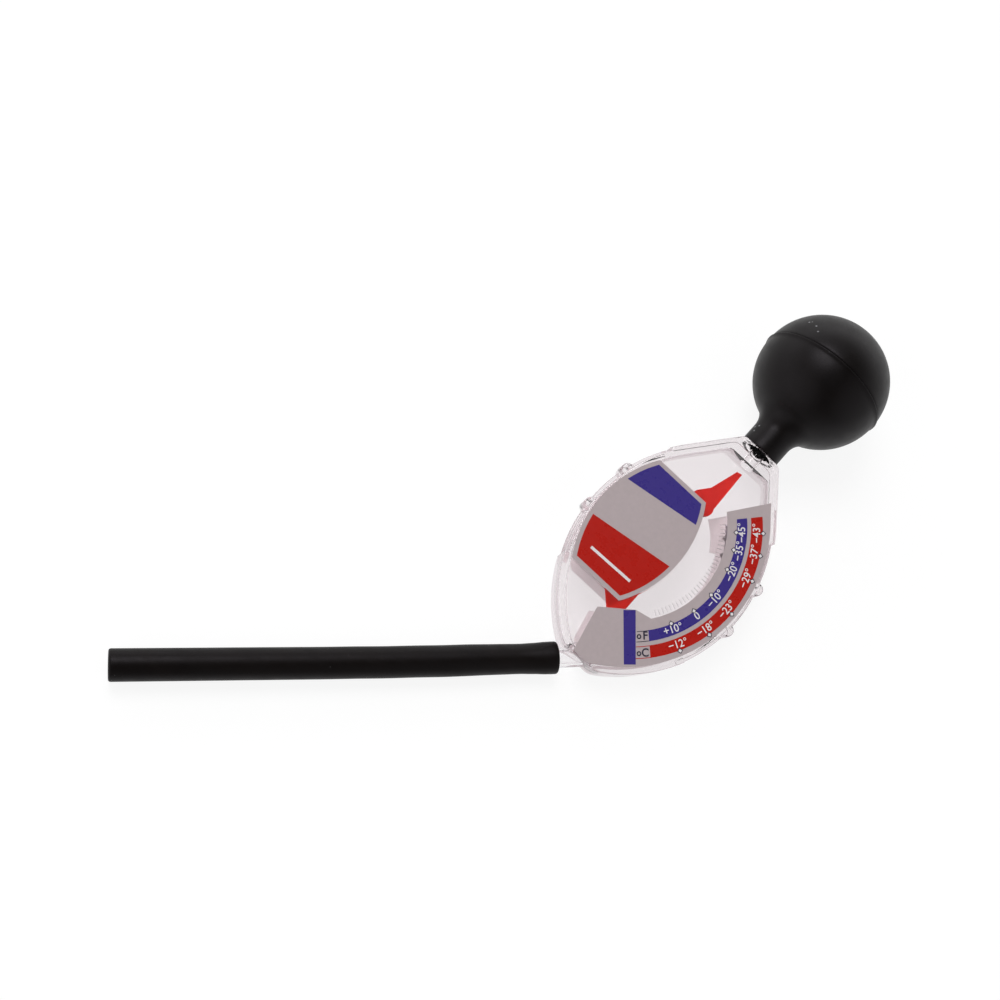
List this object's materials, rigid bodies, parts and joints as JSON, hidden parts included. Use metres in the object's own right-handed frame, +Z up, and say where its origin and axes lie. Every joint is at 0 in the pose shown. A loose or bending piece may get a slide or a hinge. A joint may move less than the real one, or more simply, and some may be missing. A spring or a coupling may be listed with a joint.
{
  "type": "antifreeze tester",
  "caption": "Dial hydrometer for engine coolant: flat clear case with a swinging float pointer and printed scale, black squeeze bulb at one end and a pick-up hose at the other.",
  "frame": {"origin": "on the floor, under the middle of the box around case, bulb and inlet tube (the hose is left out of that box)", "axes": "+Z up from the floor that the tester lies on, +Y along the case towards the bulb, +X to the right as seen from the front face"},
  "size_m": [0.1327, 0.2418, 0.044],
  "materials": {
    "clear_plastic": "clear moulded plastic, faintly pink-grey at the edges",
    "hose_rubber": "matt black extruded rubber",
    "bulb_rubber": "satin black moulded rubber with a seam round the middle",
    "pointer_plastic": "bright red moulded plastic",
    "carrier_plastic": "red moulded plastic",
    "weight_brass": "turned brass",
    "pin_steel": "plain steel wire",
    "scale_print": "silver-grey film printed with a blue and a red band",
    "title_print": "silver-grey film printed in blue and red"
  },
  "bodies": {
    "case": {"front_shell": "clear_plastic", "rear_shell": "clear_plastic", "inlet_tube": "clear_plastic", "hose": "hose_rubber", "bulb": "bulb_rubber", "pivot_pin": "pin_steel", "pivot_carrier": "carrier_plastic", "front_scale_label": "scale_print", "front_title_label": "title_print", "rear_scale_label": "scale_print", "rear_title_label": "title_print"},
    "pointer": {"pointer": "pointer_plastic", "pointer_weight": "weight_brass"},
    "bulb_crown": {"bulb_crown": "bulb_rubber"}
  },
  "joints": [
    {"name": "pointer_swing", "type": "hinge", "parent": "case", "child": "pointer", "pos_m": [-0.0123, -0.02417, 0.01153], "axis": [0, -0.1323, 0.9912], "range_deg": [-110, 10]},
    {"name": "bulb_squeeze", "type": "slide", "parent": "case", "child": "bulb_crown", "axis": [0, -0.9912, -0.1323], "range_m": [0, 0.012], "stiffness_N_per_m": 500, "deforming": ["bulb"]}
  ]
}
